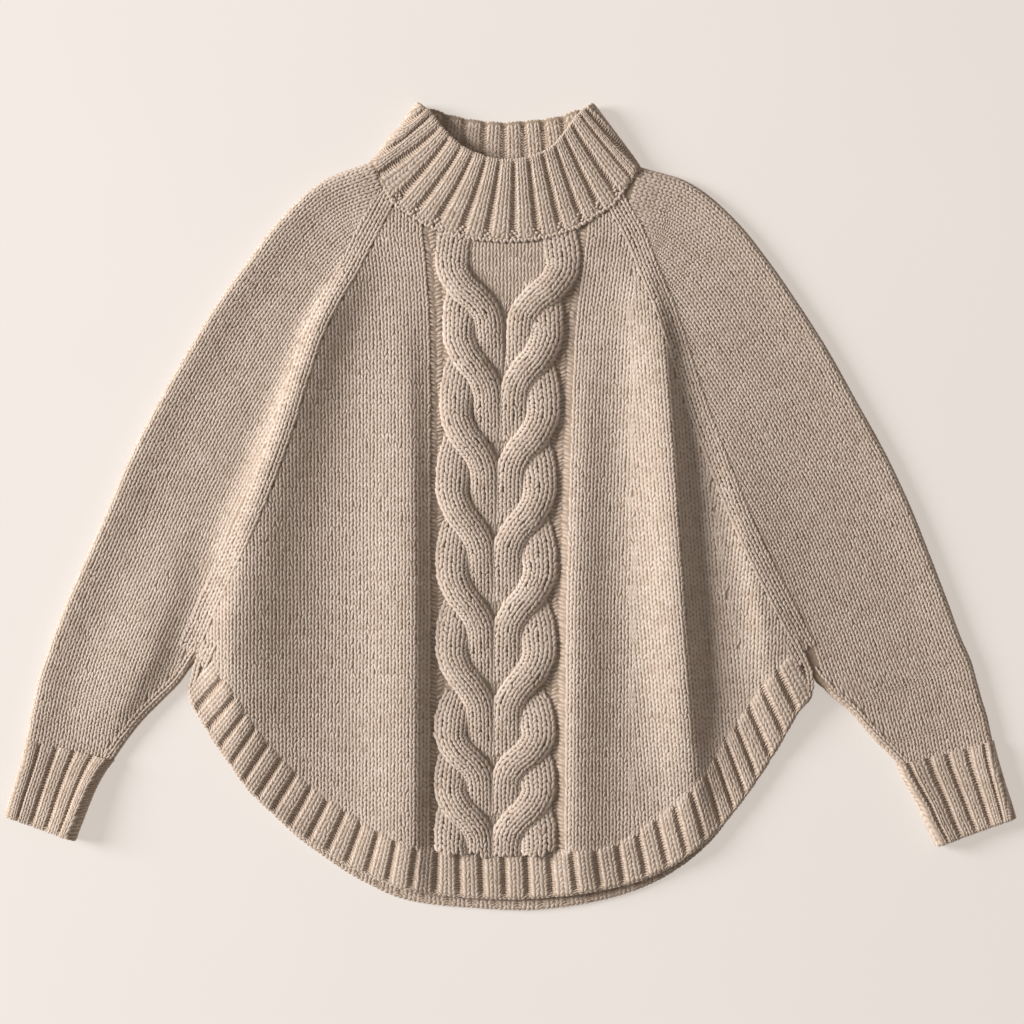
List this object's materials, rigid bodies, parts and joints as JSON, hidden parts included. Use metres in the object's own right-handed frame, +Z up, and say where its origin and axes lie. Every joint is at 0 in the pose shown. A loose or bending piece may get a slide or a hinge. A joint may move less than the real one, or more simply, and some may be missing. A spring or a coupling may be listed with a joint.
{
  "type": "cable knit sweater",
  "caption": "Chunky knitted sweater with raglan sleeves, a cable down the front, a ribbed funnel collar, ribbed cuffs and a curved ribbed hem, laid flat with its front up.",
  "frame": {"origin": "middle of the garment's bounding box, on the surface it lies on", "axes": "+X to the right of the garment as it is seen from above, from the left-hand cuff to the right-hand cuff, +Y up to the collar, +Z up off the surface"},
  "size_m": [1.0114, 0.8086, 0.022],
  "materials": {
    "wool_knit": "matte beige heather wool, knitted"
  },
  "bodies": {
    "root": {"back_panel": "wool_knit", "front_panel": "wool_knit", "sleeve_left": "wool_knit", "sleeve_right": "wool_knit", "collar": "wool_knit", "hem_front": "wool_knit", "hem_back": "wool_knit", "cuff_left": "wool_knit", "cuff_right": "wool_knit"}
  },
  "joints": []
}
